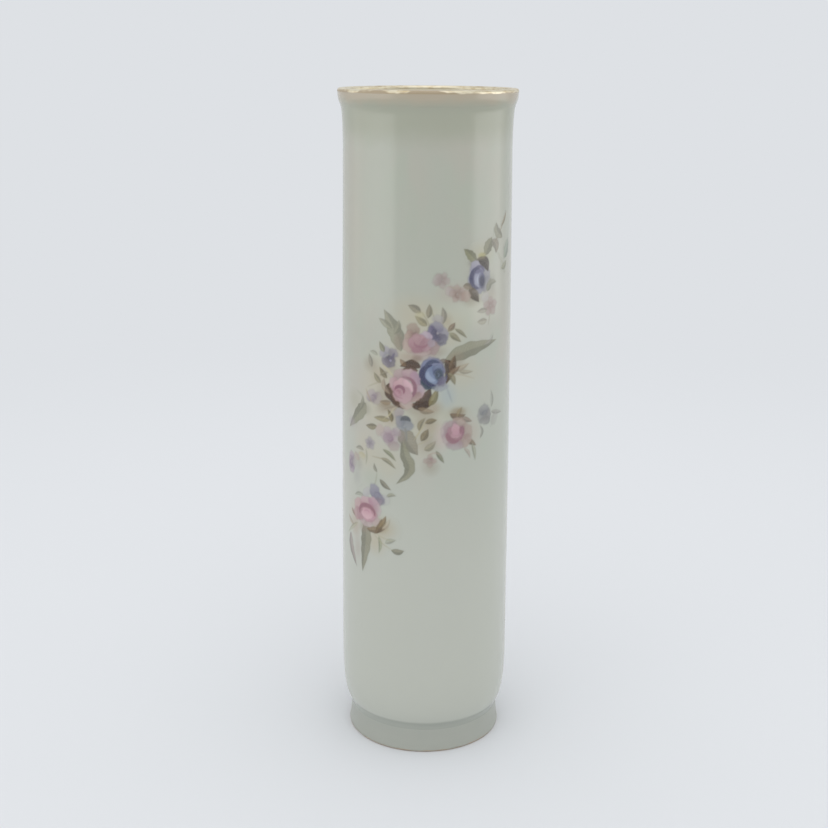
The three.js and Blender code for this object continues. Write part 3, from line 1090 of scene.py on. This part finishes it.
def film_faces(kept, numbers):
    """Faces of a closed film: the outer skin, the inner skin, and a side along each free edge."""
    outer = numbers.max() + 1
    corner = (numbers[:-1, :-1], numbers[:-1, 1:], numbers[1:, 1:], numbers[1:, :-1])
    skin = np.stack([value[kept] for value in corner], axis=1)
    faces = [skin, skin[:, ::-1] + outer]
    padded = np.pad(kept, 1)
    beyond = (padded[:-2, 1:-1], padded[1:-1, 2:], padded[2:, 1:-1], padded[1:-1, :-2])
    for first, last, neighbour in zip(corner, corner[1:] + corner[:1], beyond):
        free = kept & ~neighbour
        a, b = first[free], last[free]
        faces.append(np.stack([a + outer, b + outer, b, a], axis=1))
    return np.vstack(faces), len(skin)


def transfer(name, painted, number, wall, material):
    """A closed film of ceramic colour on the glaze, which carries the painted colours on its points."""
    s, z, cover, colour = painted
    kept = touched(cover > LEAST_COVER) & (cut_sheets(s[None, :-1], z[:-1, None]) == number)
    used = touched(np.pad(kept, 1))
    numbers = np.cumsum(used).reshape(used.shape) - 1
    rows, columns = np.nonzero(used)
    angle, height = s[columns] / NOMINAL_RADIUS, z[rows] * MM
    radius = np.interp(height, wall[:, 1], wall[:, 0])
    skins = [
        np.stack([(radius + lift) * np.sin(angle), -(radius + lift) * np.cos(angle), height], axis=1)
        for lift in (FILM_LIFT * MM, -FILM_SINK * MM)
    ]
    faces, skin_size = film_faces(kept, numbers)
    mesh = new_mesh(name, np.vstack(skins).tolist(), faces.tolist(), material)
    mesh.shade_smooth()
    mesh.set_sharp_from_angle(angle=CORNER_ANGLE)
    ink = np.hstack([linear(colour[rows, columns]), cover[rows, columns, None]])
    colours = mesh.attributes.new(INK, "FLOAT_COLOR", "POINT")
    colours.data.foreach_set("color", np.vstack([ink, ink]).ravel())
    chart = np.stack([columns, rows], axis=1) - (columns.min(), rows.min())
    chart = chart / chart.max()
    # the inner skin and the sides get little of the bake map, because they can't be seen
    chart = np.vstack([chart, chart * HIDDEN_SHARE])[faces]
    chart[skin_size:] = chart[skin_size:] * HIDDEN_SHARE
    mesh.uv_layers.new(name=BAKE_MAP).uv.foreach_set("vector", chart.ravel())
    piece = add_object(name, mesh)
    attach(piece, BODY)
    return piece


# Studio

BACKDROP = srgb(0xdee1e5)
BACKDROP_LEVEL = 0.75
BACKDROP_BLEND = 0.2
FLOOR_RADIUS = 0.75
FLOOR_SIDES = 128
FLOOR_ROUGHNESS = 0.9
FLOOR_FADE = (0.12, 0.6)


def ray_kinds(tree):
    """1 for camera rays, and 1 for the rays by which gloss and glass show what is round them."""
    path = tree.nodes.new("ShaderNodeLightPath").outputs
    return path["Is Camera Ray"], calc(tree, "MAXIMUM", path["Is Glossy Ray"], path["Is Transmission Ray"])


def make_floor():
    """A pale disc under the vase. Its far part takes the backdrop's even tone, and its underside is clear."""
    material, tree, shader = new_material("floor")
    shader.inputs["Base Color"].default_value = BACKDROP
    shader.inputs["Roughness"].default_value = FLOOR_ROUGHNESS
    shader.inputs["Specular IOR Level"].default_value = 0.0
    even = add(tree, "Emission", {"Color": BACKDROP})
    clear = tree.nodes.new("ShaderNodeBsdfTransparent")
    side = tree.nodes.new("ShaderNodeNewGeometry")
    where = tree.nodes.new("ShaderNodeVectorMath")
    where.operation = "LENGTH"
    feed(tree, where.inputs[0], place(tree))
    far = step(tree, where.outputs["Value"], *FLOOR_FADE)
    far = calc(tree, "MULTIPLY", far, calc(tree, "MAXIMUM", *ray_kinds(tree)))
    faded = mixed_shader(tree, far, shader.outputs[0], even.outputs[0])
    one_sided = mixed_shader(tree, side.outputs["Backfacing"], faded, clear.outputs[0])
    feed(tree, tree.nodes["Material Output"].inputs["Surface"], one_sided)
    angles = [2 * math.pi * k / FLOOR_SIDES for k in range(FLOOR_SIDES)]
    rim = [(FLOOR_RADIUS * math.cos(a), FLOOR_RADIUS * math.sin(a), 0) for a in angles]
    floor = add_object("floor", new_mesh("floor", rim, [range(FLOOR_SIDES)], material))


LIGHT_TOP = 2.0
SIDE_LIGHT = (
    (-180, 0.3), (-152, 0.3), (-130, 0.6), (-108, 1.1), (-62, 1.64), (-51, 1.6), (-35, 0.3), (54, 0.36),
    (71, 1.74), (108, 1.66), (122, 0.9), (132, 0.4), (180, 0.3),
)
HIGH_LIGHT = ((-180, 0.8), (-90, 0.6), (0, 1.45), (90, 0.6), (180, 0.8))
HIGH_STARTS = (11, 26)
OVERHEAD_LIGHT = 1.8
OVERHEAD_SHEEN = 1.25
OVERHEAD_STARTS = (50, 75)
LOW_LIGHT = 1.3
LOW_STARTS = (-17, -12)


def lit_by_azimuth(tree, azimuth, stops):
    """A light level that changes smoothly round the room, from stops of (degrees, level)."""
    node = tree.nodes.new("ShaderNodeValToRGB")
    ramp = node.color_ramp
    ramp.interpolation = "EASE"
    while len(ramp.elements) < len(stops):
        ramp.elements.new(0.5)
    for element, (degrees, level) in zip(ramp.elements, stops):
        element.position = (degrees + 180) / 360
        element.color = (level / LIGHT_TOP,) * 3 + (1,)
    feed(tree, node.inputs["Fac"], calc(tree, "DIVIDE", calc(tree, "ADD", azimuth, 180), 360))
    return calc(tree, "MULTIPLY", node.outputs["Color"], LIGHT_TOP)


def blend(tree, share, first, second):
    """Two numbers mixed by a share."""
    return calc(tree, "MULTIPLY_ADD", share, calc(tree, "SUBTRACT", second, first), first)


def make_world():
    """Soft studio light: a tall bright panel on each side of a dim room, under a broad light overhead."""
    world = bpy.data.worlds.new("studio")
    bpy.context.scene.world = world
    world.use_nodes = True
    tree = world.node_tree
    x, y, z = split(tree, tree.nodes.new("ShaderNodeTexCoord").outputs["Generated"])
    azimuth = calc(tree, "DEGREES", calc(tree, "ARCTAN2", x, calc(tree, "MULTIPLY", y, -1.0)))
    elevation = calc(tree, "DEGREES", calc(tree, "ARCSINE", z))
    side = lit_by_azimuth(tree, azimuth, SIDE_LIGHT)
    high = lit_by_azimuth(tree, azimuth, HIGH_LIGHT)
    level = blend(tree, step(tree, elevation, *LOW_STARTS), LOW_LIGHT, side)
    level = blend(tree, step(tree, elevation, *HIGH_STARTS), level, high)
    camera_ray, reflected_ray = ray_kinds(tree)
    overhead = step(tree, reflected_ray, 0, 1, OVERHEAD_LIGHT, OVERHEAD_SHEEN)
    level = blend(tree, step(tree, elevation, *OVERHEAD_STARTS), level, overhead)
    studio = tree.nodes["Background"]
    studio.inputs["Color"].default_value = (1, 1, 1, 1)
    feed(tree, studio.inputs["Strength"], level)
    backdrop = add(tree, "Background", {"Color": BACKDROP})
    dim = step(tree, level, BACKDROP_LEVEL, BACKDROP_LEVEL + BACKDROP_BLEND, 1.0, 0.0)
    seen = calc(tree, "MAXIMUM", camera_ray, calc(tree, "MULTIPLY", reflected_ray, dim))
    chosen = mixed_shader(tree, seen, studio.outputs[0], backdrop.outputs[0])
    feed(tree, tree.nodes["World Output"].inputs["Surface"], chosen)


make_camera()
dress("porcelain_body", "vase_body", glazed_porcelain())
dress("porcelain_foot", "foot_ring", foot_porcelain())
dress("gold_rim", "gilt_rim", fired_gold())
outline = smooth_outline("vase_body")[0]
wall = outline[:outline[:, 1].argmax() + 1]
inks = ceramic_colours()
for paint in (upper_sprig, main_bouquet, side_sprig, lower_sprig):
    paint()
painted = coarsened()
for number, name in enumerate(TRANSFERS):
    transfer(name, painted, number, wall, inks)
make_floor()
make_world()

bpy.context.scene.view_settings.view_transform = "Standard"
